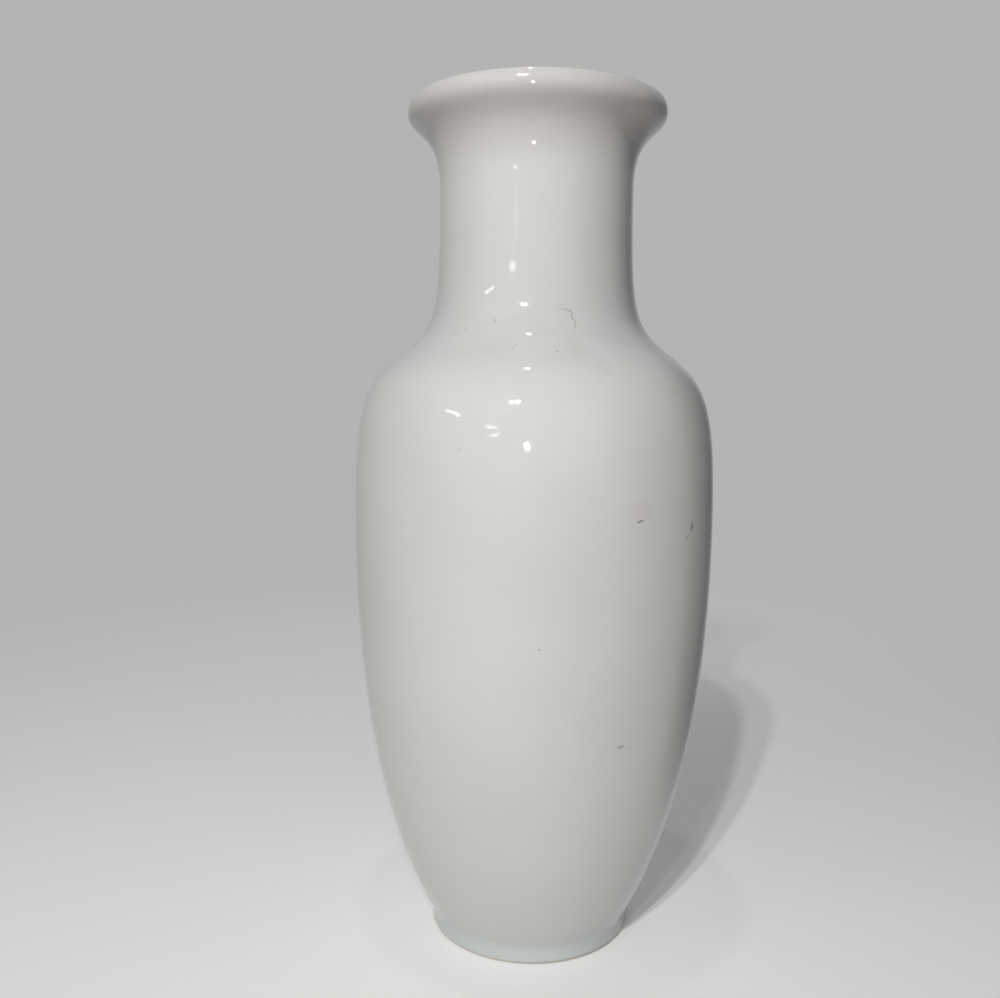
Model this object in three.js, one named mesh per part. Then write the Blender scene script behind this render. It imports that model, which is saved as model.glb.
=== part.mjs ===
// Glazed porcelain bud vase, turned in three sections that are luted together with slip.
// Millimetres, +Z up. The origin is the centre of the foot, on the table.
import * as THREE from "three";

// Foot
const FOOT_RADIUS = 22.3; // outside of the foot ring
const FOOT_BAND = 3.5; // height of the upright band above the table
const FOOT_RING_WIDTH = 3.6; // width of the ring that the vase stands on
const FOOT_BEVEL = 0.7; // bevel on both edges of that ring
const BASE_RECESS = 3.2; // depth of the hollow under the base
const BASE_DOME = 0.6; // how far that hollow rises further towards its middle
const COVE = 1.4; // size of the small cove where the band meets the body

// Heights of the stretches above the foot band, from one to the next
const BODY_RISE = 87.9; // up to the widest place of the belly
const SHOULDER_RISE = 36.6; // on to the root of the neck
const NECK_RISE = 34.5; // on to the throat, the narrowest place
const FLARE_RISE = 15.2; // on to the widest place of the lip
const LIP_RISE = 2.3; // on to the crown of the lip

// Radii of the outside
const BELLY_RADIUS = 39.05;
const ROOT_RADIUS = 28.5;
const THROAT_RADIUS = 20.6;
const LIP_RADIUS = 27.4;
const CROWN_INSET = 1.25; // the crown of the lip lies this far inside its widest place

// Slopes of the outside
const BODY_LEAN = 28.5; // degrees from upright where the body leaves the foot band
const ROOT_PITCH = 38.8; // degrees from level at the root of the neck

// Clay
const FOOT_WALL = 5.0; // wall just above the foot band
const BODY_WALL = 4.0; // wall at the belly
const NECK_WALL = 3.6; // wall at the throat and the mouth
const FLOOR = 5.0; // between the recess and the inside
const FLOOR_ROUND = 7.0; // size of the rounded corner between floor and wall

// Slip seams
const SEAM_THICKNESS = 1.0;
const SEAM_RIDGE = 0.8; // how far the squeezed-out slip stands proud of the wall inside

// Fullness of the curves: length of each end's handle as a share of the stretch's rise or width
const BODY_FULLNESS = { start: 0.31, end: 0.327 };
const SHOULDER_FULLNESS = { start: 0.76, end: 0.275 };
const NECK_FULLNESS = { start: 0.27, end: 0.752 };
const FLARE_FULLNESS = { start: 0.792, end: 0.246 };
const ROLL_FULLNESS = { start: 0.5, end: 0.45 };
const BASE_FULLNESS = { start: 0.5, end: 0.33 };
const CIRCLE_FULLNESS = 0.5523; // handle that makes a quarter of a circle or ellipse
const CUBIC_REACH = 0.75; // share of its handles' length that the middle of a cubic nose reaches

// Steps round the axis, and along the curves
const TURN_STEPS = 48;
const LONG_STEPS = 11;
const NECK_STEPS = 9;
const ROUND_STEPS = 4;

const { clamp, degToRad, mapLinear } = THREE.MathUtils;
const UP = new THREE.Vector2(0, 1);
const OUT = new THREE.Vector2(1, 0);
const IN = new THREE.Vector2(-1, 0);

// Heights of the stations
const bellyHeight = FOOT_BAND + BODY_RISE;
const rootHeight = bellyHeight + SHOULDER_RISE;
const throatHeight = rootHeight + NECK_RISE;
const lipHeight = throatHeight + FLARE_RISE;
const vaseHeight = lipHeight + LIP_RISE;
const floorHeight = BASE_RECESS + FLOOR;

const point = (radius, height) => new THREE.Vector2(radius, height);
const along = (start, direction, length) => start.clone().addScaledVector(direction, length);

// Points of a cubic curve that leaves start along one direction and reaches end along another
function sweep(start, leaving, end, arriving, handles, steps) {
  const first = along(start, leaving, handles.start);
  const last = along(end, arriving, -handles.end);
  return new THREE.CubicBezierCurve(start, first, last, end).getPoints(steps);
}

// The same, with its handles as shares of the rise between the two ends
function stretch(start, leaving, end, arriving, fullness, steps) {
  const rise = Math.abs(end.y - start.y);
  const handles = { start: fullness.start * rise, end: fullness.end * rise };
  return sweep(start, leaving, end, arriving, handles, steps);
}

// One line out of several that meet end to end
function join(...lines) {
  return lines.flatMap((line, index) => (index === 0 ? line : line.slice(1)));
}

// Stations of the outside
const bodyLean = degToRad(BODY_LEAN);
const rootPitch = degToRad(ROOT_PITCH);
const bodyDirection = point(Math.sin(bodyLean), Math.cos(bodyLean));
const rootDirection = point(-Math.cos(rootPitch), Math.sin(rootPitch));
const bandTop = point(FOOT_RADIUS, FOOT_BAND);
const bodyStart = along(bandTop, bodyDirection, COVE);
const belly = point(BELLY_RADIUS, bellyHeight);
const root = point(ROOT_RADIUS, rootHeight);
const throat = point(THROAT_RADIUS, throatHeight);
const lip = point(LIP_RADIUS, lipHeight);
const crown = point(LIP_RADIUS - CROWN_INSET, vaseHeight);

// Outside of the clay from the foot band's cove up to the widest place of the lip
const bandEnd = along(bandTop, UP, -COVE);
const coveLine = new THREE.QuadraticBezierCurve(bandEnd, bandTop, bodyStart).getPoints(ROUND_STEPS);
const bodyLine = stretch(bodyStart, bodyDirection, belly, UP, BODY_FULLNESS, LONG_STEPS);
const shoulderLine = stretch(belly, UP, root, rootDirection, SHOULDER_FULLNESS, LONG_STEPS);
const neckLine = stretch(root, rootDirection, throat, UP, NECK_FULLNESS, NECK_STEPS);
const flareLine = stretch(throat, UP, lip, UP, FLARE_FULLNESS, NECK_STEPS);
const outside = join(coveLine, bodyLine, shoulderLine, neckLine, flareLine);

// Wall at a height: it thins evenly from the foot to the belly, and from there to the throat
function wallAt(height) {
  const level = clamp(height, FOOT_BAND, throatHeight);
  if (level < bellyHeight) {
    return mapLinear(level, FOOT_BAND, bellyHeight, FOOT_WALL, BODY_WALL);
  }
  return mapLinear(level, bellyHeight, throatHeight, BODY_WALL, NECK_WALL);
}

// Inside of the wall: each point of the outside, moved square to the outline by the wall there
function insideOf(line) {
  return line.map((here, index) => {
    const before = line[Math.max(index - 1, 0)];
    const after = line[Math.min(index + 1, line.length - 1)];
    const direction = after.clone().sub(before).normalize();
    return along(here, point(-direction.y, direction.x), wallAt(here.y));
  });
}

// Radius of a rising line at a height
function radiusAt(line, height) {
  const next = line.findIndex((p, index) => index > 0 && p.y >= height);
  const [below, above] = [line[next - 1], line[next]];
  return mapLinear(height, below.y, above.y, below.x, above.x);
}

// The part of a rising line between two heights, with its ends exactly on them
function between(line, low, high) {
  const middle = line.filter((p) => p.y > low && p.y < high);
  return [point(radiusAt(line, low), low), ...middle, point(radiusAt(line, high), high)];
}

// The flare's inside ends where the outside leans out most, and from there rolls over to the crown
function steepest(line) {
  const leans = line.slice(1).map((p, index) => (p.x - line[index].x) / (p.y - line[index].y));
  return leans.indexOf(Math.max(...leans)) + 1;
}

const flareInside = insideOf(flareLine).slice(0, steepest(flareLine) + 1);
const inside = join(insideOf(join(bodyLine, shoulderLine, neckLine)), flareInside);

// Closed solid turned about the vase's axis
function turned(line) {
  const geometry = new THREE.LatheGeometry(line, TURN_STEPS);
  geometry.rotateX(Math.PI / 2);
  return geometry;
}

// Seam faces
const halfSeam = SEAM_THICKNESS / 2;
const bellySeam = { low: bellyHeight - halfSeam, high: bellyHeight + halfSeam };
const neckSeam = { low: rootHeight - halfSeam, high: rootHeight + halfSeam };

// Lower half of the belly, with the floor, the recessed base and the foot ring
function lowerBody() {
  const ringInside = FOOT_RADIUS - FOOT_RING_WIDTH;
  const recessEdge = point(ringInside, BASE_RECESS);
  const recessTop = point(0, BASE_RECESS + BASE_DOME);
  const dome = { start: BASE_FULLNESS.start * ringInside, end: BASE_FULLNESS.end * ringInside };
  const base = sweep(recessTop, OUT, recessEdge, OUT, dome, ROUND_STEPS);
  const ring = [
    point(ringInside, FOOT_BEVEL),
    point(ringInside + FOOT_BEVEL, 0),
    point(FOOT_RADIUS - FOOT_BEVEL, 0),
    point(FOOT_RADIUS, FOOT_BEVEL),
  ];
  const wall = between(outside, bandEnd.y, bellySeam.low);
  const lining = between(inside, floorHeight + FLOOR_ROUND, bellySeam.low).reverse();
  const [liningNext, liningFoot] = lining.slice(-2);
  const lean = (liningNext.x - liningFoot.x) / (liningNext.y - liningFoot.y);
  const corner = point(liningFoot.x - lean * FLOOR_ROUND, floorHeight);
  const cornerEnd = along(corner, IN, FLOOR_ROUND);
  const rounded = new THREE.QuadraticBezierCurve(liningFoot, corner, cornerEnd).getPoints(ROUND_STEPS);
  return turned([...base, ...ring, ...wall, ...join(lining, rounded), point(0, floorHeight)]);
}

// Upper half of the belly and the shoulder
function upperBody() {
  const wall = between(outside, bellySeam.high, neckSeam.low);
  const lining = between(inside, bellySeam.high, neckSeam.low).reverse();
  return turned([...wall, ...lining, wall[0]]);
}

// Neck, flare and the lip that rolls over from the outside to the inside
function neck() {
  const wall = between(outside, neckSeam.high, lipHeight);
  const quarter = { start: LIP_RISE * CIRCLE_FULLNESS, end: CROWN_INSET * CIRCLE_FULLNESS };
  const outerRoll = sweep(lip, UP, crown, IN, quarter, ROUND_STEPS);
  const mouth = inside[inside.length - 1];
  const mouthLean = mouth.clone().sub(inside[inside.length - 2]).normalize();
  const reach = crown.x - mouth.x;
  const roll = { start: ROLL_FULLNESS.start * reach, end: ROLL_FULLNESS.end * reach };
  const innerRoll = sweep(mouth, mouthLean, crown, OUT, roll, ROUND_STEPS).reverse();
  const lining = between(inside, neckSeam.high, mouth.y).reverse();
  return turned([...join(wall, outerRoll, innerRoll, lining), wall[0]]);
}

// Ring of slip between two sections, rounded where it stands proud inside
function slipSeam(seam) {
  const face = between(outside, seam.low, seam.high);
  const innerLow = point(radiusAt(inside, seam.low), seam.low);
  const innerHigh = point(radiusAt(inside, seam.high), seam.high);
  const nose = SEAM_RIDGE / CUBIC_REACH;
  const pullHigh = along(innerHigh, IN, nose);
  const pullLow = along(innerLow, IN, nose);
  const ridge = new THREE.CubicBezierCurve(innerHigh, pullHigh, pullLow, innerLow).getPoints(ROUND_STEPS);
  return turned([...face, ...ridge, face[0]]);
}

const glazedWhite = { color: 0xd6d5d1, roughness: 0.12, metalness: 0 };
const slipWhite = { color: 0xcfcdc6, roughness: 0.35, metalness: 0 };

// Named mesh of one sub-part
function piece(name, geometry, finish) {
  const mesh = new THREE.Mesh(geometry, new THREE.MeshStandardMaterial(finish));
  mesh.name = name;
  return mesh;
}

const vase = new THREE.Group();
vase.add(
  piece("lower_body", lowerBody(), glazedWhite),
  piece("belly_slip_seam", slipSeam(bellySeam), slipWhite),
  piece("upper_body", upperBody(), glazedWhite),
  piece("neck_slip_seam", slipSeam(neckSeam), slipWhite),
  piece("neck", neck(), glazedWhite),
);

export default vase;
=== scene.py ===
"""White glazed porcelain bud vase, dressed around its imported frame.

Metres, +Z up. The origin is the centre of the foot, on the table, and -Y points towards the camera.
"""
import logging
import math
from dataclasses import dataclass, field
from enum import Enum
from typing import Callable, Dict, List, Mapping, Optional, Sequence, Tuple, Union

import bpy
from mathutils import Matrix, Vector
from mathutils.geometry import interpolate_bezier


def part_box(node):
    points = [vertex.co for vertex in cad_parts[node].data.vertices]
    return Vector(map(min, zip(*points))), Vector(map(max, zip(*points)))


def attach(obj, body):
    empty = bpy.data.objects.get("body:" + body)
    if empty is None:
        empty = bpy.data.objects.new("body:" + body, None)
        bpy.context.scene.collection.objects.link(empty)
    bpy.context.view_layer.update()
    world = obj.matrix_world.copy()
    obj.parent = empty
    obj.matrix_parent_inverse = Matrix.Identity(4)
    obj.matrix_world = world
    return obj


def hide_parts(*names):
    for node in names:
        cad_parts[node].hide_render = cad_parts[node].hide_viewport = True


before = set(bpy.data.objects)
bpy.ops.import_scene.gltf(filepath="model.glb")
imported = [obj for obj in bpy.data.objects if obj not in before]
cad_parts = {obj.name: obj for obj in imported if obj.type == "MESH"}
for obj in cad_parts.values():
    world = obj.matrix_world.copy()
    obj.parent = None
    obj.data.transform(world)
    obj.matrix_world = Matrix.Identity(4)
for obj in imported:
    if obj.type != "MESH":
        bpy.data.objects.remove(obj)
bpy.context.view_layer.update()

log = logging.getLogger("bud_vase")

MM = 0.001
MIDDLE = 0.5  # of a ramp or a noise, which run from 0 to 1
BODY = "root"

Colour = Tuple[float, float, float]
Pair = Tuple[float, float]
Line = List[Vector]
Socket = bpy.types.NodeSocket
Input = Union[float, int, Sequence[float], Socket]
Inputs = Mapping[Union[str, int], Input]

UP = Vector((0.0, 1.0))
OUT = Vector((1.0, 0.0))
IN = Vector((-1.0, 0.0))

PLAIN_LIGHT: Colour = (1.0, 1.0, 1.0)
COOL_LIGHT: Colour = (0.95, 1.0, 1.02)
WARM_LIGHT: Colour = (1.0, 0.985, 0.965)
ROSY_LIGHT: Colour = (1.03, 1.0, 0.99)


class Slot(Enum):
    """Material slots of the record."""

    GLAZE = "white_glaze"
    CLAY = "bare_clay"


class Trait(Enum):
    """Numbers that each ring of a turned form carries for its finish."""

    # The glaze's depth, which also carries painted light: warm bounce light under the lip and shade on the
    # foot band.
    GLAZE_DEPTH_AND_PAINTED_LIGHT = "glaze_depth_and_painted_light"
    TURNING_LINES = "turning_lines"


class Wiring:
    """Adds and joins the nodes of one tree."""

    # A colour Mix node's factor, two colours and result share their names with other sockets.
    mix_inputs: Tuple[int, ...] = (0, 6, 7)
    mix_output: int = 2

    def __init__(self, tree: bpy.types.NodeTree) -> None:
        """Starts on an empty tree.

        Args:
            tree: Shader or geometry tree that the nodes go into.
        """
        self.tree = tree
        self.tree.nodes.clear()

    def node(self, kind: str, inputs: Optional[Inputs] = None, **settings: object) -> bpy.types.Node:
        """Adds a node.

        Args:
            kind: The node's type.
            inputs: A number, or an output to link, for each input that is named or numbered.
            **settings: Properties of the node itself.

        Returns:
            The new node.
        """
        node = self.tree.nodes.new(kind)
        for name, setting in settings.items():
            setattr(node, name, setting)
        for key, value in (inputs or {}).items():
            if isinstance(value, Socket):
                self.tree.links.new(value, node.inputs[key])
            else:
                node.inputs[key].default_value = value
        return node

    def math(self, operation: str, *values: Input) -> Socket:
        """Adds a Math node and returns its output."""
        return self.node("ShaderNodeMath", dict(enumerate(values)), operation=operation).outputs[0]

    def vector_math(self, operation: str, *values: Input, output: str = "Vector") -> Socket:
        """Adds a Vector Math node and returns its output of that name."""
        return self.node("ShaderNodeVectorMath", dict(enumerate(values)), operation=operation).outputs[output]

    def split(self, vector: Socket) -> Mapping[str, Socket]:
        """Adds a Separate XYZ node and returns its outputs."""
        return self.node("ShaderNodeSeparateXYZ", {0: vector}).outputs

    def blend(self, share: Input, first: Input, second: Input, how: str = "MIX") -> Socket:
        """Adds a colour Mix node.

        Args:
            share: How much of the second colour shows.
            first: Colour below.
            second: Colour above.
            how: Blend type.

        Returns:
            The mixed colour's output.
        """
        inputs = dict(zip(self.mix_inputs, (share, first, second)))
        return self.node("ShaderNodeMix", inputs, data_type="RGBA", blend_type=how).outputs[self.mix_output]

    def smooth_range(self, value: Input, span: Pair, results: Pair) -> Socket:
        """Adds a smooth Map Range node.

        Args:
            value: What is mapped.
            span: Values at the two ends.
            results: Results at and before the first end, and at and after the second.

        Returns:
            The result's output.
        """
        inputs = dict(enumerate((value, *span, *results)))
        return self.node("ShaderNodeMapRange", inputs, interpolation_type="SMOOTHSTEP").outputs[0]

    def seen(self) -> Socket:
        """Tells rays from the camera, and through gloss or glass, from those that only carry light.

        Returns:
            Output that is 1 for the former and 0 for the latter.
        """
        path = self.node("ShaderNodeLightPath").outputs
        direct = self.math("MAXIMUM", path["Is Camera Ray"], path["Is Glossy Ray"])
        return self.math("MAXIMUM", direct, path["Is Transmission Ray"])


class MaterialTree(Wiring):
    """Tree of a new material, with the object's own coordinates at hand."""

    def __init__(self, name: str) -> None:
        """Starts the material.

        Args:
            name: The material's name.
        """
        self.material = bpy.data.materials.new(name)
        self.material.use_nodes = True
        super().__init__(self.material.node_tree)
        self.place = self.node("ShaderNodeTexCoord").outputs["Object"]

    def noise(self, grain: float, detail: float = 2.0, output: str = "Fac") -> Socket:
        """Adds a Noise Texture.

        Args:
            grain: Size of its lumps in metres.
            detail: Number of finer layers.
            output: Name of the output to read: its strength, from 0 to 1, or its colour.

        Returns:
            That output.
        """
        inputs = {"Vector": self.place, "Scale": 1.0 / grain, "Detail": detail}
        return self.node("ShaderNodeTexNoise", inputs).outputs[output]

    def finished(self, kind: str, inputs: Inputs) -> bpy.types.Material:
        """Adds the shader of the surface, with its inputs, and returns the material."""
        self.node("ShaderNodeOutputMaterial", {"Surface": self.node(kind, inputs).outputs[0]})
        return self.material


def rgba(colour: Colour) -> Tuple[float, float, float, float]:
    """Adds full opacity to a colour."""
    return (*colour, 1.0)


def upright(height: float) -> Vector:
    """Vector that points straight up by a height."""
    return Vector((0.0, 0.0, height))


def on_bearing(bearing: float, elevation: float = 0.0) -> Vector:
    """Direction at a bearing from the front, towards +X, and an elevation.

    Args:
        bearing: Degrees from -Y towards +X.
        elevation: Degrees above the horizon.

    Returns:
        The unit vector of that direction.
    """
    turn, rise = math.radians(bearing), math.radians(elevation)
    return Vector((math.sin(turn) * math.cos(rise), -math.cos(turn) * math.cos(rise), math.sin(rise)))


def placed(name: str, data: bpy.types.ID) -> bpy.types.Object:
    """Puts a new object into the scene.

    Args:
        name: Its name.
        data: Its mesh, lamp or camera.

    Returns:
        The object.
    """
    item = bpy.data.objects.new(name, data)
    bpy.context.scene.collection.objects.link(item)
    return item


def sweep(start: Vector, leaving: Vector, end: Vector, arriving: Vector, fullness: Pair, steps: int,
          length: Optional[float] = None) -> Line:
    """Points of a cubic curve.

    Args:
        start: First point.
        leaving: Direction at the first point.
        end: Last point.
        arriving: Direction at the last point.
        fullness: Lengths of the two handles as shares of the rise between the ends, or of another length.
        steps: Number of steps.
        length: That other length.

    Returns:
        The points, both ends included.
    """
    whole = length or abs(end.y - start.y)
    first = start + leaving * (fullness[0] * whole)
    last = end - arriving * (fullness[1] * whole)
    return list(interpolate_bezier(start, first, last, end, steps + 1))


def corner(start: Vector, knee: Vector, end: Vector, steps: int, pull: float = 2.0 / 3.0) -> Line:
    """Rounded corner between two points, drawn towards the point where their tangents meet.

    Args:
        start: First point.
        knee: Where the tangents meet.
        end: Last point.
        steps: Number of steps.
        pull: How far the curve's handles reach towards the knee.

    Returns:
        The points, both ends included.
    """
    return list(interpolate_bezier(start, start.lerp(knee, pull), end.lerp(knee, pull), end, steps + 1))


def joined(*lines: Line) -> Line:
    """One line out of several that meet end to end.

    Args:
        *lines: The lines in order.

    Returns:
        All their points, with each meeting point once.
    """
    whole: Line = list(lines[0])
    for line in lines[1:]:
        whole.extend(line[1:])
    return whole


def radius_at(line: Line, height: float) -> float:
    """Radius of a rising line at a height.

    Args:
        line: Points with rising heights.
        height: Height in metres.

    Returns:
        The radius there.
    """
    for below, above in zip(line, line[1:]):
        if above.y >= height:
            share = (height - below.y) / (above.y - below.y)
            return below.x + share * (above.x - below.x)
    return line[-1].x


def between(line: Line, low: float, high: float) -> Line:
    """The part of a rising line between two heights, with its ends exactly on them.

    Args:
        line: Points with rising heights.
        low: Lower height.
        high: Upper height.

    Returns:
        The points of that part.
    """
    middle = [point for point in line if low < point.y < high]
    ends = [Vector((radius_at(line, height), height)) for height in (low, high)]
    return [ends[0], *middle, ends[1]]


@dataclass(frozen=True)
class Swell:
    """A soft rise and fall over a stretch of height."""

    height: float
    reach: float
    depth: float

    def at(self, height: float) -> float:
        """Strength of the swell at a height."""
        away = (height - self.height) / self.reach
        return self.depth * math.exp(-away * away)


@dataclass
class VaseForm:
    """Outline and wall of the vase. Its main sizes come from the frame, the others are the potter's."""

    height: float
    belly_height: float
    belly_radius: float
    root_height: float

    foot_radius: float = 22.3 * MM
    foot_band: float = 3.5 * MM
    ring_width: float = 3.6 * MM
    base_recess: float = 3.2 * MM
    base_dome: float = 0.6 * MM
    recess_round: float = 1.3 * MM
    cove: float = 1.4 * MM
    glaze_line: float = 0.5 * MM
    glaze_round: float = 0.25 * MM

    root_radius: float = 28.5 * MM
    throat_drop: float = 17.5 * MM
    throat_radius: float = 20.6 * MM
    lip_drop: float = 2.3 * MM
    lip_radius: float = 27.4 * MM
    crown_inset: float = 1.25 * MM
    body_lean: float = 28.5
    root_pitch: float = 38.8

    foot_wall: float = 5.0 * MM
    body_wall: float = 4.0 * MM
    neck_wall: float = 3.6 * MM
    floor: float = 5.0 * MM
    floor_round: float = 7.0 * MM
    seam_ridge: float = 0.8 * MM
    seam_softness: float = 0.9 * MM
    seam_reach: float = 2.7 * MM

    body_fullness: Pair = (0.31, 0.327)
    shoulder_fullness: Pair = (0.76, 0.275)
    neck_fullness: Pair = (0.27, 0.752)
    flare_fullness: Pair = (0.792, 0.246)
    roll_fullness: Pair = (0.5, 0.45)
    base_fullness: Pair = (0.5, 0.33)
    lip_pull: float = 0.5523

    body_steps: int = 56
    shoulder_steps: int = 48
    root_steps: int = 84
    flare_steps: int = 36
    round_steps: int = 14
    edge_steps: int = 6

    outside: Line = field(init=False)
    inside: Line = field(init=False)

    @classmethod
    def from_frame(cls) -> "VaseForm":
        """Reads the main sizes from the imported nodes.

        Returns:
            The form with the frame's height, belly and neck root.
        """
        belly_low, belly_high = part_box("belly_slip_seam")
        root_low, root_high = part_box("neck_slip_seam")
        return cls(
            height=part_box("neck")[1].z,
            belly_height=(belly_low.z + belly_high.z) / 2,
            belly_radius=belly_high.x,
            root_height=(root_low.z + root_high.z) / 2,
        )

    def __post_init__(self) -> None:
        """Draws the two sides of the wall."""
        self.outside = self.draw_outside()
        self.inside = self.draw_inside()

    @property
    def ring_inside(self) -> float:
        """Inner radius of the foot ring."""
        return self.foot_radius - self.ring_width

    @property
    def throat(self) -> Vector:
        """Narrowest place of the neck."""
        return Vector((self.throat_radius, self.height - self.throat_drop))

    @property
    def floor_height(self) -> float:
        """Height of the floor inside."""
        return self.base_recess + self.floor

    @property
    def lip(self) -> Vector:
        """Widest place of the lip."""
        return Vector((self.lip_radius, self.height - self.lip_drop))

    @property
    def crown(self) -> Vector:
        """Highest place of the lip."""
        return Vector((self.lip_radius - self.crown_inset, self.height))

    def flare(self) -> Line:
        """Outside from the throat to the widest place of the lip."""
        return sweep(self.throat, UP, self.lip, UP, self.flare_fullness, self.flare_steps)

    def draw_outside(self) -> Line:
        """Outside from the top of the foot band's straight part to the throat.

        Returns:
            The rising line.
        """
        lean, pitch = math.radians(self.body_lean), math.radians(self.root_pitch)
        body_run = Vector((math.sin(lean), math.cos(lean)))
        root_run = Vector((-math.cos(pitch), math.sin(pitch)))
        band_top = Vector((self.foot_radius, self.foot_band))
        body_start = band_top + body_run * self.cove
        belly = Vector((self.belly_radius, self.belly_height))
        root = Vector((self.root_radius, self.root_height))
        return joined(
            corner(band_top - UP * self.cove, band_top, body_start, self.edge_steps),
            sweep(body_start, body_run, belly, UP, self.body_fullness, self.body_steps),
            sweep(belly, UP, root, root_run, self.shoulder_fullness, self.shoulder_steps),
            sweep(root, root_run, self.throat, UP, self.neck_fullness, self.root_steps),
        )

    def wall_at(self, height: float) -> float:
        """Wall at a height: it thins evenly from the foot to the belly, and from there to the throat.

        Args:
            height: Height in metres.

        Returns:
            The wall's thickness.
        """
        top = self.height - self.throat_drop
        level = min(max(height, self.foot_band), top)
        if level < self.belly_height:
            share = (level - self.foot_band) / (self.belly_height - self.foot_band)
            return self.foot_wall + share * (self.body_wall - self.foot_wall)
        share = (level - self.belly_height) / (top - self.belly_height)
        return self.body_wall + share * (self.neck_wall - self.body_wall)

    def lining_of(self, line: Line) -> Line:
        """Inside of the wall behind a line of the outside.

        Args:
            line: Rising line of the outside.

        Returns:
            Each of its points, moved square to the line by the wall there.
        """
        lining = []
        for index, here in enumerate(line):
            before, after = line[max(index - 1, 0)], line[min(index + 1, len(line) - 1)]
            run = (after - before).normalized()
            lining.append(here + Vector((-run.y, run.x)) * self.wall_at(here.y))
        return lining

    def draw_inside(self) -> Line:
        """Inside from the floor's corner to the place where the flare leans out most.

        Returns:
            The rising line.
        """
        flare = self.flare()
        leans = [(above.x - below.x) / (above.y - below.y) for below, above in zip(flare, flare[1:])]
        steepest = leans.index(max(leans)) + 1
        return self.lining_of(self.outside)[self.edge_steps:] + self.lining_of(flare)[1:steepest + 1]

    def ridged(self, line: Line) -> Line:
        """Lining with the soft ridges of slip that stand proud of it inside at the two seams.

        Args:
            line: Rising line of the lining.

        Returns:
            The line with fine rows over each ridge.
        """
        rows = 2 * self.round_steps
        whole: Line = []
        start = line[0].y
        for seam in (self.belly_height, self.root_height):
            whole.extend(between(line, start, seam - self.seam_reach))
            ridge = Swell(seam, self.seam_softness, self.seam_ridge)
            for row in range(1, rows):
                height = seam - self.seam_reach + 2.0 * self.seam_reach * row / rows
                whole.append(Vector((radius_at(line, height) - ridge.at(height), height)))
            start = seam + self.seam_reach
        whole.extend(between(line, start, line[-1].y))
        return whole

    def base_line(self) -> Line:
        """Under side from the middle of the recess to the glaze's edge inside the foot ring.

        Returns:
            The line from the middle outwards.
        """
        inner, edge = self.ring_inside, self.glaze_round
        middle = Vector((0.0, self.base_recess + self.base_dome))
        bend = Vector((inner, self.base_recess))
        start, reach = bend + IN * self.recess_round, inner - self.recess_round
        dome = sweep(middle, OUT, start, OUT, self.base_fullness, self.round_steps, reach)
        hollow = corner(start, bend, bend - UP * self.recess_round, self.edge_steps)
        foot = Vector((inner, self.glaze_line))
        rim = corner(foot + UP * edge, foot, foot + OUT * edge, self.edge_steps)
        return joined(dome, hollow, [hollow[-1], *rim])

    def band_line(self) -> Line:
        """Outside of the foot band from the glaze's edge to the cove.

        Returns:
            The rising line.
        """
        edge = self.glaze_round
        foot = Vector((self.foot_radius, self.glaze_line))
        return corner(foot + IN * edge, foot, foot + UP * edge, self.edge_steps)

    def mouth_line(self) -> Line:
        """Flare, and the lip that rolls over from the outside to the inside.

        Returns:
            The line from the throat, over the lip and into the mouth.
        """
        lip, crown, mouth = self.lip, self.crown, self.inside[-1]
        outer = corner(lip, Vector((lip.x, crown.y)), crown, self.round_steps, self.lip_pull)
        lean = (mouth - self.inside[-2]).normalized()
        inner = sweep(mouth, lean, crown, OUT, self.roll_fullness, 2 * self.round_steps, crown.x - mouth.x)
        return joined(self.flare(), outer, inner[::-1])

    def lining_line(self) -> Line:
        """Inside from the mouth down to the middle of the floor.

        Returns:
            The falling line.
        """
        low = self.floor_height + self.floor_round
        lining = self.ridged(between(self.inside, low, self.inside[-1].y))[::-1]
        above, foot = lining[-2:]
        lean = (above.x - foot.x) / (above.y - foot.y)
        knee = Vector((foot.x - lean * self.floor_round, self.floor_height))
        rounded = corner(foot, knee, knee + IN * self.floor_round, self.round_steps)
        middle = Vector((0.0, self.floor_height))
        level = [rounded[-1].lerp(middle, step / self.round_steps) for step in range(self.round_steps + 1)]
        return joined(lining, rounded, level)

    def glazed_rows(self) -> Line:
        """The whole glazed skin, from the middle of the recess to the middle of the floor inside."""
        foot_to_throat = self.base_line() + self.band_line() + self.outside
        return joined(foot_to_throat, self.mouth_line(), self.lining_line())


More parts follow.
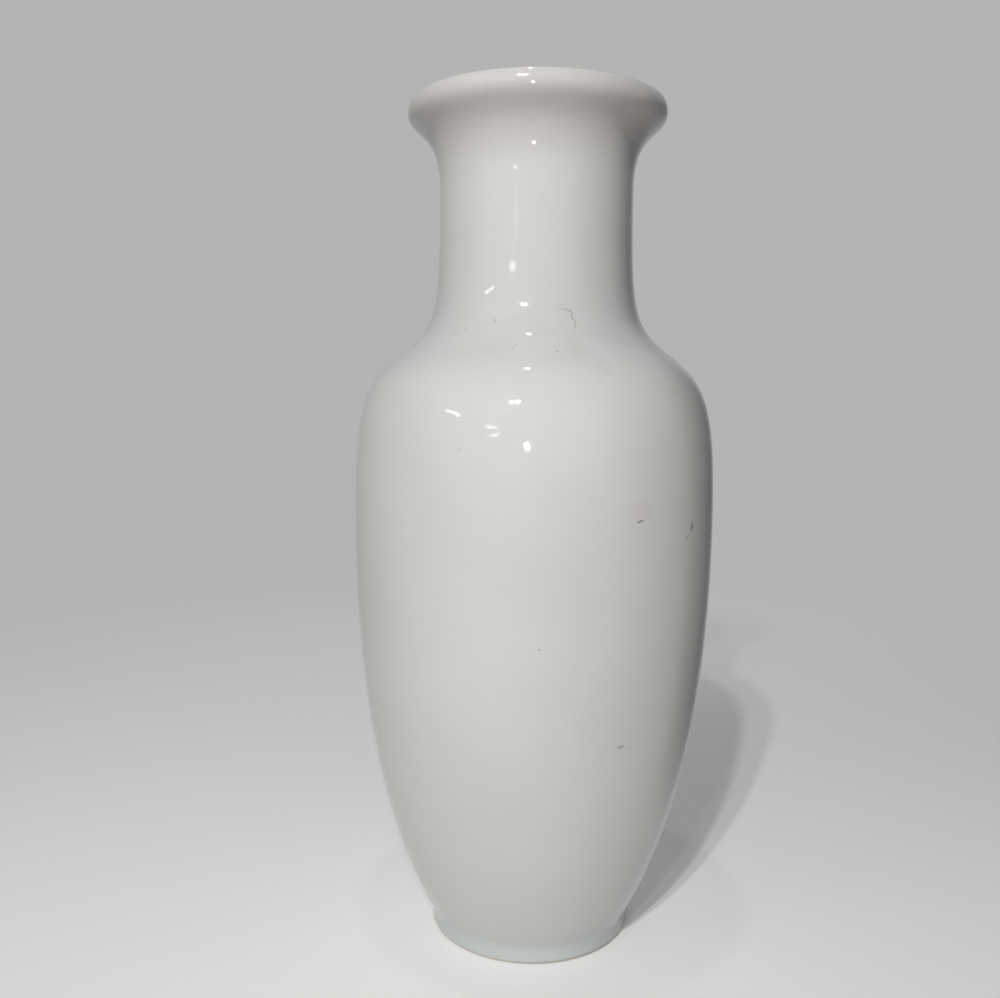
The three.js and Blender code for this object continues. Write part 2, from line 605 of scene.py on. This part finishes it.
class TurnedForm(Wiring):
    """Geometry tree that turns a line about the vase's axis into a smooth, closed skin."""

    inputs: Dict[str, str] = {
        "Steps Round": "NodeSocketInt",
        "Line Depth": "NodeSocketFloat",
        "Line Pitch": "NodeSocketFloat",
        "Finish": "NodeSocketMaterial",
    }
    without_lines: Dict[str, float] = {"Line Depth": 0.0, "Line Pitch": 1.0 * MM}
    doubles: float = 0.0005 * MM

    def __init__(self) -> None:
        """Builds the tree."""
        super().__init__(bpy.data.node_groups.new("turned_form", "GeometryNodeTree"))
        self.sockets: Dict[str, str] = {}
        interface = self.tree.interface
        interface.new_socket("Line", in_out="INPUT", socket_type="NodeSocketGeometry")
        for name, kind in self.inputs.items():
            socket = interface.new_socket(name, in_out="INPUT", socket_type=kind)
            self.sockets[name] = socket.identifier
        interface.new_socket("Skin", in_out="OUTPUT", socket_type="NodeSocketGeometry")
        self.wire()

    def sampled(self, line: Socket, value: Socket, row: Socket, kind: str) -> Socket:
        """Value that one row of the line carries.

        Args:
            line: The line's geometry.
            value: Field that is read on the line.
            row: Number of the row.
            kind: Data type of the field.

        Returns:
            The sampled value.
        """
        inputs = {"Geometry": line, "Value": value, "Index": row}
        return self.node("GeometryNodeSampleIndex", inputs, data_type=kind, domain="POINT").outputs[0]

    def wire(self) -> None:
        """Joins the nodes: a grid of rows and turns takes its places from the line."""
        given = self.node("NodeGroupInput").outputs
        line, steps = given["Line"], given["Steps Round"]
        size = self.node("GeometryNodeAttributeDomainSize", {0: line}, component="MESH")
        rows = size.outputs["Point Count"]
        inputs = {"Vertices X": self.math("ADD", steps, 1.0), "Vertices Y": rows}
        skin = self.node("GeometryNodeMeshGrid", inputs).outputs["Mesh"]
        index = self.node("GeometryNodeInputIndex").outputs[0]
        row = self.math("MODULO", index, rows)
        column = self.math("DIVIDE", self.math("SUBTRACT", index, row), rows)
        angle = self.math("DIVIDE", self.math("MULTIPLY", column, math.tau), steps)

        position = self.node("GeometryNodeInputPosition").outputs[0]
        place = self.split(self.sampled(line, position, row, "FLOAT_VECTOR"))
        traits = {}
        for trait in Trait:
            read = self.node("GeometryNodeInputNamedAttribute", {"Name": trait.value}, data_type="FLOAT")
            traits[trait] = self.sampled(line, read.outputs[0], row, "FLOAT")
            inputs = {"Geometry": skin, "Name": trait.value, "Value": traits[trait]}
            store = self.node("GeometryNodeStoreNamedAttribute", inputs, data_type="FLOAT", domain="POINT")
            skin = store.outputs[0]

        turns = self.math("MULTIPLY", place["Z"], math.tau)
        wave = self.math("SINE", self.math("DIVIDE", turns, given["Line Pitch"]))
        swell = self.math("MULTIPLY", traits[Trait.TURNING_LINES], wave)
        radius = self.math("MULTIPLY_ADD", swell, given["Line Depth"], place["X"])
        x = self.math("MULTIPLY", radius, self.math("COSINE", angle))
        y = self.math("MULTIPLY", radius, self.math("SINE", angle))
        turned = self.node("ShaderNodeCombineXYZ", {"X": x, "Y": y, "Z": place["Z"]}).outputs[0]
        for kind, inputs in (
            ("GeometryNodeSetPosition", {"Position": turned}),
            ("GeometryNodeMergeByDistance", {"Distance": self.doubles}),
            ("GeometryNodeSetShadeSmooth", {}),
            ("GeometryNodeRealizeInstances", {}),
            ("GeometryNodeSetMaterial", {"Material": given["Finish"]}),
        ):
            skin = self.node(kind, {0: skin, **inputs}).outputs[0]
        self.node("NodeGroupOutput", {0: skin})

    def turn(self, name: str, line: Line, values: Mapping[str, object],
             traits: Optional[Mapping[Trait, Callable[[float], float]]] = None) -> bpy.types.Object:
        """Turns a line into a piece.

        Args:
            name: Name of the piece.
            line: Radius and height of each row, in order.
            values: Values of the tree's named inputs. Without those of the lines, none are turned.
            traits: For each trait, the rule that gives its number at a height. Others are 0.

        Returns:
            The piece, a plain mesh at the origin.
        """
        mesh = bpy.data.meshes.new(name + "_line")
        places = [(point.x, 0.0, point.y) for point in line]
        mesh.from_pydata(places, [(row, row + 1) for row in range(len(line) - 1)], [])
        for trait in Trait:
            rule = (traits or {}).get(trait)
            attribute = mesh.attributes.new(trait.value, "FLOAT", "POINT")
            attribute.data.foreach_set("value", [rule(point.y) if rule else 0.0 for point in line])
        piece = placed(name, mesh)
        modifier = piece.modifiers.new("turning", "NODES")
        modifier.node_group = self.tree
        for key, value in {**self.without_lines, **values}.items():
            modifier[self.sockets[key]] = value
        graph = bpy.context.evaluated_depsgraph_get()
        skin = bpy.data.meshes.new_from_object(piece.evaluated_get(graph))
        piece.modifiers.remove(modifier)
        piece.data = skin
        skin.name = name
        bpy.data.meshes.remove(mesh)
        return piece


@dataclass(frozen=True)
class GlazeMark:
    """A speck or scuff on the outside: an oval spot of another colour in the glaze."""

    name: str
    height: float
    bearing: float
    length: float
    width: float
    tilt: float
    colour: Colour
    strength: float

    def seat(self, form: VaseForm) -> Matrix:
        """Frame of the mark: its length, its width and the outward direction at its place.

        Args:
            form: The vase that it lies on.

        Returns:
            The frame as a matrix.
        """
        outward = on_bearing(self.bearing)
        side = Vector((-outward.y, outward.x, 0.0))
        tilt = math.radians(self.tilt)
        along = side * math.cos(tilt) + upright(1.0) * math.sin(tilt)
        across = outward.cross(along)
        place = outward * radius_at(form.outside, self.height) + upright(self.height)
        return Matrix.Translation(place) @ Matrix((along, across, outward)).transposed().to_4x4()


@dataclass(frozen=True)
class WhiteGlaze:
    """Glossy transparent glaze over white porcelain: warmer where it runs thinnest, faintly green where it
    gathers. The warm colour under the lip is partly painted warm bounce light, and the green colour is
    darkened as painted shade on the foot band.
    """

    # The first colour, where the glaze runs thinnest, is lightened and warmed as painted bounce light under
    # the lip.
    thin_and_bounce_light: Colour = (0.628, 0.600, 0.588)
    plain: Colour = (0.660, 0.659, 0.645)
    # The green colour where the glaze gathers deepest is darkened as painted shade on the foot band.
    pooled_and_shade: Colour = (0.588, 0.616, 0.604)
    cloud: float = 0.022
    cloud_size: float = 34.0 * MM
    cloud_span: Pair = (0.3, 0.7)
    speck_colour: Colour = (0.21, 0.165, 0.12)
    speck_field: float = 17.0 * MM
    speck_edge: Pair = (0.08 * MM, 0.24 * MM)
    speck_share: float = 0.22
    peel_size: float = 1.2 * MM
    peel_depth: float = 0.006 * MM
    wave_size: float = 26.0 * MM
    wave_depth: float = 0.03 * MM
    gloss_rough: float = 0.04
    smear_rough: float = 0.06
    smear_size: float = 14.0 * MM
    smear_span: Pair = (0.4, 0.75)
    glass_index: float = 1.5
    ragged: float = 0.35 * MM
    mark_depth: float = 3.0 * MM
    mark_edge: Pair = (0.35, 1.0)

    def colour(self, tree: MaterialTree) -> Socket:
        """Colour of the glaze by its depth, with soft clouds in it. The depth ramp also paints warm bounce
        light under the lip and shade on the foot band.

        Args:
            tree: Tree under construction.

        Returns:
            The colour's output.
        """
        # Past the middle of the ramp lies painted shade on the foot band. Below the middle lies painted warm
        # bounce light under the lip.
        depth = tree.node("ShaderNodeAttribute", attribute_name=Trait.GLAZE_DEPTH_AND_PAINTED_LIGHT.value).outputs["Fac"]
        ramp = tree.node("ShaderNodeValToRGB", {0: tree.math("MULTIPLY_ADD", depth, MIDDLE, MIDDLE)})
        stops = ramp.color_ramp.elements
        stops[0].color = rgba(self.thin_and_bounce_light)
        stops[1].color = rgba(self.pooled_and_shade)
        stops.new(MIDDLE).color = rgba(self.plain)
        cloud = tree.noise(self.cloud_size, detail=3.0)
        shade = tree.smooth_range(cloud, self.cloud_span, (1.0 - self.cloud, 1.0 + self.cloud))
        return tree.blend(1.0, ramp.outputs["Color"], shade, "MULTIPLY")

    def specks(self, tree: MaterialTree) -> Socket:
        """Strength of the few tiny iron specks strewn over the glaze.

        Args:
            tree: Tree under construction.

        Returns:
            The strength's output.
        """
        cells = tree.node("ShaderNodeTexVoronoi", {"Vector": tree.place, "Scale": 1.0 / self.speck_field})
        distance = tree.math("MULTIPLY", cells.outputs["Distance"], self.speck_field)
        spot = tree.smooth_range(distance, self.speck_edge, (1.0, 0.0))
        draw = tree.node("ShaderNodeSeparateColor", {0: cells.outputs["Color"]}).outputs[0]
        return tree.math("MULTIPLY", spot, tree.math("LESS_THAN", draw, self.speck_share))

    def marked(self, tree: MaterialTree, ragged: Socket, colour: Socket, mark: GlazeMark,
               form: VaseForm) -> Socket:
        """Colour with one mark laid over it.

        Args:
            tree: Tree under construction.
            ragged: Object coordinates, made ragged.
            colour: Colour below.
            mark: The mark.
            form: The vase that it lies on.

        Returns:
            The colour's output.
        """
        seat = mark.seat(form)
        inputs = {
            "Vector": ragged,
            "Location": seat.to_translation(),
            "Rotation": seat.to_euler(),
            "Scale": (mark.length / 2, mark.width / 2, self.mark_depth),
        }
        local = tree.node("ShaderNodeMapping", inputs, vector_type="TEXTURE", label=mark.name).outputs[0]
        away = tree.vector_math("LENGTH", local, output="Value")
        share = tree.smooth_range(away, self.mark_edge, (mark.strength, 0.0))
        return tree.blend(share, colour, rgba(mark.colour))

    def surface(self, tree: MaterialTree) -> Socket:
        """Normal of the fired glaze: long slow waves and the finest orange peel.

        Args:
            tree: Tree under construction.

        Returns:
            The normal's output.
        """
        wave = {"Height": tree.noise(self.wave_size, detail=1.0), "Distance": self.wave_depth}
        peel = {"Height": tree.noise(self.peel_size, detail=1.0), "Distance": self.peel_depth}
        peel["Normal"] = tree.node("ShaderNodeBump", wave).outputs[0]
        return tree.node("ShaderNodeBump", peel).outputs[0]

    def material(self, form: VaseForm, marks: Sequence[GlazeMark]) -> bpy.types.Material:
        """Builds the material.

        Args:
            form: The vase, for the places of the marks.
            marks: Specks and scuffs at their places.

        Returns:
            The material.
        """
        tree = MaterialTree(Slot.GLAZE.value)
        colour = tree.blend(self.specks(tree), self.colour(tree), rgba(self.speck_colour))
        shift = tree.vector_math("SUBTRACT", tree.noise(self.ragged, output="Color"), (MIDDLE,) * 3)
        ragged = tree.vector_math("MULTIPLY_ADD", shift, (self.ragged,) * 3, tree.place)
        for mark in marks:
            colour = self.marked(tree, ragged, colour, mark, form)
        smear = tree.noise(self.smear_size, detail=3.0)
        inputs = {
            "Base Color": colour,
            "Roughness": tree.smooth_range(smear, self.smear_span, (self.gloss_rough, self.smear_rough)),
            "IOR": self.glass_index,
            "Normal": self.surface(tree),
        }
        return tree.finished("ShaderNodeBsdfPrincipled", inputs)


@dataclass(frozen=True)
class BareClay:
    """Bare fired porcelain of the foot ring: fine, matt, with a faint tan blush along the glaze."""

    plain: Colour = (0.62, 0.59, 0.53)
    blush: Colour = (0.54, 0.48, 0.40)
    blush_start: float = 0.35
    blush_share: float = 0.75
    soil: Colour = (0.40, 0.37, 0.32)
    soil_size: float = 5.0 * MM
    soil_span: Pair = (0.5, 0.75)
    soil_share: float = 0.45
    grain_size: float = 0.35 * MM
    grain_depth: float = 0.02 * MM
    grain_span: Pair = (0.3, 0.7)
    grain_shades: Pair = (0.9, 1.06)
    grain_rough: Pair = (0.62, 0.82)

    def material(self, glaze_line: float) -> bpy.types.Material:
        """Builds the material.

        Args:
            glaze_line: Height at which the glaze begins.

        Returns:
            The material.
        """
        tree = MaterialTree(Slot.CLAY.value)
        height = tree.split(tree.place)["Z"]
        blush_span = (self.blush_start * glaze_line, glaze_line)
        blush = tree.smooth_range(height, blush_span, (0.0, self.blush_share))
        patches, grain = tree.noise(self.soil_size, detail=4.0), tree.noise(self.grain_size, detail=3.0)
        soil = tree.smooth_range(patches, self.soil_span, (0.0, self.soil_share))
        colour = tree.blend(soil, rgba(self.plain), rgba(self.soil))
        colour = tree.blend(blush, colour, rgba(self.blush))
        shade = tree.smooth_range(grain, self.grain_span, self.grain_shades)
        bump = tree.node("ShaderNodeBump", {"Height": grain, "Distance": self.grain_depth})
        inputs = {
            "Base Color": tree.blend(1.0, colour, shade, "MULTIPLY"),
            "Roughness": tree.smooth_range(grain, self.grain_span, self.grain_rough),
            "Normal": bump.outputs[0],
        }
        return tree.finished("ShaderNodeBsdfPrincipled", inputs)


@dataclass
class GlazedVessel:
    """The whole glazed pot: body, shoulder, neck, mouth, lining and recessed base as one fired skin."""

    form: VaseForm
    finish: WhiteGlaze = WhiteGlaze()
    steps_round: int = 160
    line_depth: float = 0.012 * MM
    line_pitch: float = 1.7 * MM

    # Swells of glaze depth at the neck root, at the foot and under the lip. The ones at the foot also paint
    # shade on the foot band, and the one under the lip paints warm bounce light.
    pools_and_painted_light: Tuple[Swell, ...] = (
        Swell(height=131.0 * MM, reach=11.0 * MM, depth=0.5),
        Swell(height=1.0 * MM, reach=5.0 * MM, depth=1.0),
        Swell(height=12.0 * MM, reach=16.0 * MM, depth=0.2),
        Swell(height=173.5 * MM, reach=6.5 * MM, depth=-1.0),
    )
    lines: Swell = Swell(height=129.5 * MM, reach=4.5 * MM, depth=1.0)
    marks: Tuple[GlazeMark, ...] = (
        GlazeMark("iron_bloom", 97.6 * MM, 31.6, 6.5 * MM, 6.0 * MM, 0.0, (0.60, 0.53, 0.46), 0.22),
        GlazeMark("iron_streak", 95.8 * MM, 31.1, 2.2 * MM, 0.55 * MM, 19.0, (0.20, 0.16, 0.10), 0.8),
        GlazeMark("dark_scuff", 93.5 * MM, 53.6, 2.6 * MM, 1.7 * MM, 55.0, (0.12, 0.12, 0.12), 0.5),
        GlazeMark("scuff_tail", 91.6 * MM, 51.2, 2.0 * MM, 0.8 * MM, 45.0, (0.2, 0.2, 0.2), 0.35),
        GlazeMark("grey_scuff", 51.4 * MM, 28.5, 2.3 * MM, 1.0 * MM, 6.0, (0.24, 0.27, 0.26), 0.5),
        GlazeMark("grey_arc", 50.8 * MM, 32.0, 3.6 * MM, 0.9 * MM, -28.0, (0.3, 0.31, 0.3), 0.13),
        GlazeMark("pin_speck_low", 72.2 * MM, 2.1, 0.7 * MM, 0.55 * MM, 0.0, (0.25, 0.23, 0.21), 0.7),
        GlazeMark("pin_speck_high", 109.2 * MM, -21.0, 0.5 * MM, 0.45 * MM, 0.0, (0.25, 0.22, 0.20), 0.7),
        GlazeMark("root_speck", 133.7 * MM, -19.8, 0.45 * MM, 0.4 * MM, 0.0, (0.14, 0.14, 0.14), 0.8),
        GlazeMark("root_speck_left", 132.0 * MM, -34.2, 0.5 * MM, 0.4 * MM, 0.0, (0.2, 0.2, 0.2), 0.7),
        GlazeMark("root_speck_low", 127.5 * MM, 8.3, 0.9 * MM, 0.5 * MM, -15.0, (0.28, 0.30, 0.26), 0.55),
        GlazeMark("scratch_left", 131.3 * MM, -40.7, 1.3 * MM, 0.35 * MM, 25.0, (0.32, 0.33, 0.29), 0.5),
        GlazeMark("scratch_middle", 130.9 * MM, -25.7, 1.0 * MM, 0.3 * MM, -20.0, (0.34, 0.34, 0.31), 0.45),
        GlazeMark("scratch_right", 129.5 * MM, -13.0, 1.4 * MM, 0.3 * MM, 55.0, (0.40, 0.40, 0.37), 0.4),
        GlazeMark("scratch_low", 128.4 * MM, -8.1, 2.0 * MM, 0.4 * MM, 45.0, (0.32, 0.33, 0.30), 0.5),
        GlazeMark("craze_start", 135.9 * MM, 13.4, 2.4 * MM, 0.34 * MM, 0.0, (0.24, 0.24, 0.23), 0.33),
        GlazeMark("craze_top", 135.75 * MM, 16.5, 1.6 * MM, 0.38 * MM, -15.0, (0.18, 0.18, 0.17), 0.5),
        GlazeMark("craze_turn", 135.4 * MM, 18.1, 1.1 * MM, 0.38 * MM, -54.0, (0.18, 0.18, 0.17), 0.55),
        GlazeMark("craze_hook", 134.9 * MM, 18.1, 1.0 * MM, 0.34 * MM, 48.0, (0.18, 0.18, 0.17), 0.45),
        GlazeMark("craze_run", 134.05 * MM, 18.6, 2.2 * MM, 0.38 * MM, -57.0, (0.18, 0.18, 0.17), 0.55),
        GlazeMark("craze_end", 132.8 * MM, 19.2, 2.0 * MM, 0.34 * MM, 76.0, (0.18, 0.18, 0.17), 0.5),
    )

    def glaze_depth_and_painted_light(self, height: float) -> float:
        """How deep the glaze lies at a height, from -1, thinnest, to 1, deepest. This also paints warm bounce
        light under the lip and shade on the foot band.
        """
        return max(-1.0, min(1.0, sum(pool.at(height) for pool in self.pools_and_painted_light)))

    def build(self, turned: TurnedForm) -> bpy.types.Object:
        """Turns and dresses the vessel.

        Args:
            turned: The tree that turns a line.

        Returns:
            The piece.
        """
        values = {
            "Steps Round": self.steps_round,
            "Line Depth": self.line_depth,
            "Line Pitch": self.line_pitch,
            "Finish": self.finish.material(self.form, self.marks),
        }
        traits = {Trait.GLAZE_DEPTH_AND_PAINTED_LIGHT: self.glaze_depth_and_painted_light, Trait.TURNING_LINES: self.lines.at}
        piece = turned.turn("glazed_vessel", self.form.glazed_rows(), values, traits)
        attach(piece, BODY)
        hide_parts("lower_body", "belly_slip_seam", "upper_body", "neck_slip_seam", "neck")
        return piece


@dataclass
class BareFoot:
    """The ring that the vase stands on, wiped free of glaze and a hair narrower than the glazed band."""

    form: VaseForm
    finish: BareClay = BareClay()
    steps_round: int = 160
    wipe: float = 0.15 * MM
    bevel: float = 0.4 * MM

    def rows(self) -> Line:
        """Closed section of the ring.

        Returns:
            The line, which ends where it starts.
        """
        top, rise, steps = UP * self.form.glaze_line, UP * self.bevel, self.form.edge_steps
        inner = Vector((self.form.ring_inside + self.wipe, 0.0))
        outer = Vector((self.form.foot_radius - self.wipe, 0.0))
        outer_round = corner(outer + IN * self.bevel, outer, outer + rise, steps)
        inner_round = corner(inner + rise, inner, inner + OUT * self.bevel, steps)
        return [*outer_round, outer + top, inner + top, *inner_round, outer_round[0]]

    def build(self, turned: TurnedForm) -> bpy.types.Object:
        """Turns and dresses the ring.

        Args:
            turned: The tree that turns a line.

        Returns:
            The piece.
        """
        values = {"Steps Round": self.steps_round, "Finish": self.finish.material(self.form.glaze_line)}
        piece = turned.turn("bare_foot_ring", self.rows(), values)
        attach(piece, BODY)
        return piece


@dataclass(frozen=True)
class SoftLamp:
    """A flat lamp that faces the vase.

    Its share is the part of the plain light level that it gives. The gloss shows it where it is mirrored.
    """

    name: str
    bearing: float
    elevation: float
    width: float
    height: float
    share: float
    distance: float = 700.0 * MM
    roll: float = 0.0
    colour: Colour = PLAIN_LIGHT
    mirrored: bool = True

    def build(self, target: Vector) -> bpy.types.Object:
        """Hangs the lamp.

        Args:
            target: Place that it faces.

        Returns:
            The lamp.
        """
        data = bpy.data.lights.new(self.name, "AREA")
        data.shape = "RECTANGLE"
        data.size, data.size_y = self.width, self.height
        data.energy = self.share * (math.pi * self.distance) ** 2
        data.color = self.colour
        lamp = placed(self.name, data)
        direction = on_bearing(self.bearing, self.elevation)
        lamp.location = target + direction * self.distance
        roll = Matrix.Rotation(math.radians(self.roll), 3, "Z")
        lamp.rotation_euler = (direction.to_track_quat("Z", "Y").to_matrix() @ roll).to_euler()
        lamp.visible_camera = False
        lamp.visible_glossy = self.mirrored
        return lamp


@dataclass
class PaperFloor:
    """Pale paper that the vase stands on. It fades out into the room and is see-through from below."""

    paper: Colour = (0.85, 0.855, 0.85)
    glow: float = 0.10
    base_glow: float = 0.2
    base_edge: Pair = (18.72 * MM, 20.8 * MM)
    radius: float = 420.0 * MM
    fade_start: float = 110.0 * MM
    drop: float = 0.1 * MM
    rings: int = 12
    steps_round: int = 96

    def rows(self) -> Line:
        """Radii of the floor's rings, from its edge to its middle."""
        shares = [1.0 - ring / self.rings for ring in range(self.rings + 1)]
        return [Vector((self.radius * share, -self.drop)) for share in shares]

    def material(self) -> bpy.types.Material:
        """Plain matt paper. Inside the foot ring it glows a little, so that the base shows from below.

        Returns:
            The material.
        """
        tree = MaterialTree("studio_paper")
        away = tree.vector_math("LENGTH", tree.place, output="Value")
        fade = tree.smooth_range(away, (self.fade_start, self.radius), (0.0, 1.0))
        back = tree.node("ShaderNodeNewGeometry").outputs["Backfacing"]
        paper = tree.node("ShaderNodeBsdfDiffuse", {"Color": rgba(self.paper)}).outputs[0]
        under = tree.smooth_range(away, self.base_edge, (self.base_glow, 0.0))
        strength = tree.math("MAXIMUM", tree.math("MULTIPLY", tree.seen(), self.glow), under)
        glow = tree.node("ShaderNodeEmission", {"Strength": strength}).outputs[0]
        lit = tree.node("ShaderNodeAddShader", {0: paper, 1: glow}).outputs[0]
        clear = tree.node("ShaderNodeBsdfTransparent").outputs[0]
        hidden = tree.math("MAXIMUM", fade, back)
        return tree.finished("ShaderNodeMixShader", {0: hidden, 1: lit, 2: clear})

    def build(self, turned: TurnedForm) -> bpy.types.Object:
        """Lays the floor.

        Args:
            turned: The tree that turns a line.

        Returns:
            The floor.
        """
        values = {"Steps Round": self.steps_round, "Finish": self.material()}
        floor = turned.turn("paper_floor", self.rows(), values)
        return floor


@dataclass
class DarkCard:
    """Dark card that leans behind the vase on the right, where only the gloss shows it, as a darker edge.

    Pairs of sizes are those of its foot and of its top.
    """

    tone: Colour = (0.12, 0.12, 0.12)
    bearings: Pair = (85.0, 122.0)
    distances: Pair = (52.0 * MM, 199.0 * MM)
    widths: Pair = (30.0 * MM, 240.0 * MM)
    fades: Pair = (40.0 * MM, 120.0 * MM)
    height: float = 270.0 * MM
    core: float = 0.3

    foot: Vector = field(init=False)
    top: Vector = field(init=False)
    across: Vector = field(init=False)

    def __post_init__(self) -> None:
        """Finds the middles of its foot and of its top, and the direction along both."""
        self.foot, end = (on_bearing(bearing) * away for bearing, away in zip(self.bearings, self.distances))
        way = (end - self.foot).normalized()
        self.top = end + upright(self.height)
        self.across = Vector((-way.y, way.x, 0.0))

    def material(self) -> bpy.types.Material:
        """Plain matt card that fades out towards all its edges.

        Returns:
            The material.
        """
        tree = MaterialTree("dark_card")
        height = tree.split(tree.place)["Z"]
        offset = tree.vector_math("SUBTRACT", tree.place, tuple(self.foot))
        aside = tree.vector_math("DOT_PRODUCT", offset, tuple(self.across), output="Value")
        near, far = (width / 2 for width in self.widths)
        half = tree.math("MULTIPLY_ADD", height, (far - near) / self.height, near)
        share = tree.math("DIVIDE", tree.math("ABSOLUTE", aside), half)
        low = tree.smooth_range(height, (0.0, self.fades[0]), (0.0, 1.0))
        high = tree.smooth_range(height, (self.height - self.fades[1], self.height), (1.0, 0.0))
        sides = tree.smooth_range(share, (self.core, 1.0), (1.0, 0.0))
        shown = tree.math("MULTIPLY", tree.math("MULTIPLY", low, high), sides)
        card = tree.node("ShaderNodeBsdfDiffuse", {"Color": rgba(self.tone)}).outputs[0]
        clear = tree.node("ShaderNodeBsdfTransparent").outputs[0]
        return tree.finished("ShaderNodeMixShader", {0: shown, 1: clear, 2: card})

    def build(self) -> bpy.types.Object:
        """Leans the card.

        Returns:
            The card.
        """
        corners = []
        for middle, width in zip((self.foot, self.top), self.widths):
            corners += [middle - self.across * width / 2, middle + self.across * width / 2]
        mesh = bpy.data.meshes.new("dark_card")
        mesh.from_pydata(corners, [], [(0, 1, 3, 2)])
        mesh.materials.append(self.material())
        card = placed("dark_card", mesh)
        card.visible_camera = card.visible_diffuse = card.visible_shadow = False
        return card


@dataclass
class Studio:
    """The floor, the card and the lamps in a pale room."""

    floor: PaperFloor = field(default_factory=PaperFloor)
    card: DarkCard = field(default_factory=DarkCard)
    room: Colour = (0.45, 0.455, 0.45)
    dim: float = 0.04
    target_height: float = 95.0 * MM

    lamps: Tuple[SoftLamp, ...] = (
        SoftLamp("front_panel", 10.0, 20.0, 1000.0 * MM, 450.0 * MM, 0.085, colour=COOL_LIGHT),
        SoftLamp("upper_lamp_left", -15.6, 36.8, 13.0 * MM, 21.0 * MM, 0.264, colour=WARM_LIGHT),
        SoftLamp("upper_lamp_right", -11.6, 37.5, 18.0 * MM, 26.0 * MM, 0.313, colour=WARM_LIGHT),
        SoftLamp("left_panel", -45.0, 28.0, 600.0 * MM, 600.0 * MM, 0.075, colour=COOL_LIGHT),
        SoftLamp("left_tube", -53.5, 24.0, 121.0 * MM, 22.0 * MM, 0.015, roll=-12.0),
        SoftLamp("low_tube_upper", -26.3, 18.0, 80.0 * MM, 18.0 * MM, 0.0062, roll=-4.0),
        SoftLamp("low_tube_lower", -23.9, 14.2, 68.0 * MM, 15.0 * MM, 0.0042, roll=8.0),
        SoftLamp("top_lamp", -30.0, 84.0, 16.0 * MM, 14.0 * MM, 0.05, distance=600.0 * MM),
        SoftLamp("camera_lamp", -3.6, 12.3, 5.5 * MM, 6.5 * MM, 0.14, distance=182.0 * MM, colour=ROSY_LIGHT),
        SoftLamp("back_panel", 178.0, 10.0, 900.0 * MM, 260.0 * MM, 0.38, mirrored=False),
        SoftLamp("side_panel", -130.0, 10.0, 400.0 * MM, 260.0 * MM, 0.07, mirrored=False),
    )

    def room_world(self) -> bpy.types.World:
        """Room that is pale to look at and gives little light.

        Returns:
            The world.
        """
        world = bpy.data.worlds.new("pale_room")
        world.use_nodes = True
        wiring = Wiring(world.node_tree)
        strength = wiring.smooth_range(wiring.seen(), (0.0, 1.0), (self.dim, 1.0))
        room = wiring.node("ShaderNodeBackground", {"Color": rgba(self.room), "Strength": strength})
        wiring.node("ShaderNodeOutputWorld", {"Surface": room.outputs[0]})
        return world

    def build(self, turned: TurnedForm) -> bpy.types.Object:
        """Lays the floor, leans the card and hangs the lamps in the room.

        Args:
            turned: The tree that turns a line.

        Returns:
            The floor.
        """
        floor = self.floor.build(turned)
        self.card.build()
        for lamp in self.lamps:
            lamp.build(upright(self.target_height))
        bpy.context.scene.world = self.room_world()
        return floor


@dataclass(frozen=True)
class PhotoCamera:
    """Camera at the photograph's place, with its lens."""

    image_width: float = 1000.0
    focal_pixels: float = 996.965
    sensor: float = 36.0
    distance: float = 219.666 * MM
    height: float = 120.929 * MM
    pitch: float = 6.481
    yaw: float = 1.923
    roll: float = -0.395
    nearest: float = 1.0 * MM

    def build(self) -> bpy.types.Object:
        """Makes the camera and gives it to the scene.

        Returns:
            The camera.
        """
        pitch, yaw, roll = (math.radians(angle) for angle in (self.pitch, self.yaw, self.roll))
        level_run = math.cos(pitch)
        forward = Vector((-math.sin(yaw) * level_run, math.cos(yaw) * level_run, -math.sin(pitch)))
        level = Vector((math.cos(yaw), math.sin(yaw), 0.0))
        down = forward.cross(level)
        right = level * math.cos(roll) + down * math.sin(roll)
        lower = down * math.cos(roll) - level * math.sin(roll)
        data = bpy.data.cameras.new("photo_camera")
        data.sensor_fit = "HORIZONTAL"
        data.sensor_width = self.sensor
        data.lens = self.sensor * self.focal_pixels / self.image_width
        data.clip_start = self.nearest
        camera = placed("photo_camera", data)
        turn = Matrix((right, -lower, -forward)).transposed().to_4x4()
        camera.matrix_world = Matrix.Translation((0.0, -self.distance, self.height)) @ turn
        bpy.context.scene.camera = camera
        return camera


def report(piece: bpy.types.Object) -> None:
    """Logs a finished piece and its size.

    Args:
        piece: The piece.
    """
    piece.data.calc_loop_triangles()
    size = " x ".join(f"{side / MM:.1f}" for side in piece.dimensions)
    log.info("%s: %d triangles, %s mm", piece.name, len(piece.data.loop_triangles), size)


def main() -> None:
    """Builds the camera, the vase and the studio."""
    logging.basicConfig(level=logging.INFO, format="%(name)s: %(message)s")
    bpy.context.scene.view_settings.view_transform = "Standard"
    PhotoCamera().build()
    turned = TurnedForm()
    form = VaseForm.from_frame()
    pieces = [part.build(turned) for part in (GlazedVessel(form), BareFoot(form))]
    floor = Studio().build(turned)
    for piece in (*pieces, floor):
        report(piece)


if __name__ == "__main__":
    main()
